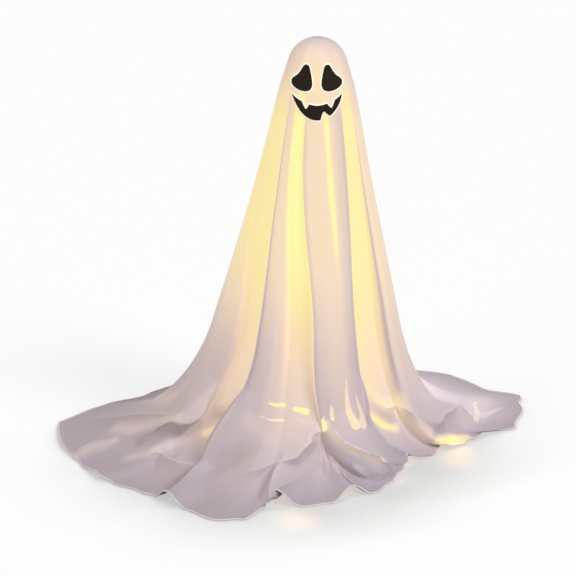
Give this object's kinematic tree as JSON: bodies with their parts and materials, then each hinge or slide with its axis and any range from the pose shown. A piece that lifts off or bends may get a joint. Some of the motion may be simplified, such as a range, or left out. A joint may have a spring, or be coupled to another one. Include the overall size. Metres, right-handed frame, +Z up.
{
  "type": "standing fabric ghost",
  "caption": "Standing lit ghost: a thin white sheet with a felt face drapes in folds from a domed head on a telescopic pole to the floor over a weighted battery base.",
  "frame": {"origin": "centre of the foot pad's underside, on the floor under the pole", "axes": "+Z up, the face looks along -Y, +X to the right of someone who faces it"},
  "size_m": [0.7278, 0.5877, 0.61],
  "materials": {
    "sheet_cloth": "thin, softly shining white polyester voile",
    "white_backing": "matte white interfacing",
    "black_felt": "matte felt",
    "white_plastic": "moulded, matte",
    "hook_tape": "hook tape",
    "steel_tube": "plated tube",
    "plated_steel": "zinc plated",
    "dark_plastic": "fine spark-eroded grain",
    "ballast_iron": "as cast",
    "foot_rubber": "closed-cell foam rubber",
    "cell_jacket": "plain printed jacket without marks",
    "circuit_board": "solder resist",
    "red_lead": "insulated wire",
    "clear_wire": "clear insulated wire",
    "warm_led": "frosted lamp plastic, lit"
  },
  "bodies": {
    "base": {"ghost_sheet": "sheet_cloth", "lower_tube": "steel_tube", "tube_plug": "dark_plastic", "pole_bolt": "plated_steel", "pole_washer": "plated_steel", "clamp_collar": "dark_plastic", "base_shell": "dark_plastic", "base_plate": "dark_plastic", "base_screws": "plated_steel", "ballast": "ballast_iron", "foot_pad": "foot_rubber", "battery_tray": "dark_plastic", "battery_cells": "cell_jacket", "contact_plates": "plated_steel", "contact_springs": "plated_steel", "lid_hinge_pin": "plated_steel", "switch_body": "plated_steel", "driver_board": "circuit_board", "battery_leads": "red_lead", "light_wire": "clear_wire", "led_beads": "warm_led", "wire_grommet": "foot_rubber"},
    "mast": {"upper_tube": "steel_tube", "slide_bush": "dark_plastic", "head_hub": "white_plastic", "hub_screw": "plated_steel", "lamp_cap": "white_plastic", "lamp_board": "circuit_board", "lamp_diffuser": "warm_led", "head_dome": "white_plastic", "crown_pad": "hook_tape", "left_eye_backing": "white_backing", "left_eye": "black_felt", "right_eye_backing": "white_backing", "right_eye": "black_felt", "mouth_backing": "white_backing", "mouth": "black_felt"},
    "knob": {"lock_knob": "dark_plastic"},
    "lid": {"battery_lid": "dark_plastic"},
    "switch": {"switch_knob": "dark_plastic"}
  },
  "joints": [
    {"name": "head_slide", "type": "slide", "parent": "base", "child": "mast", "axis": [0, 0, 1], "range_m": [-0.15, 0], "deforming": ["ghost_sheet"]},
    {"name": "knob_turn", "type": "hinge", "parent": "base", "child": "knob", "pos_m": [0, -0.025, 0.333], "axis": [0, -1, 0], "range_deg": [0, 360]},
    {"name": "lid_hinge", "type": "hinge", "parent": "base", "child": "lid", "pos_m": [0, 0.0705, 0.042], "axis": [-1, 0, 0], "range_deg": [0, 105]},
    {"name": "switch_slide", "type": "slide", "parent": "base", "child": "switch", "axis": [1, 0, 0], "range_m": [-0.005, 0]}
  ]
}
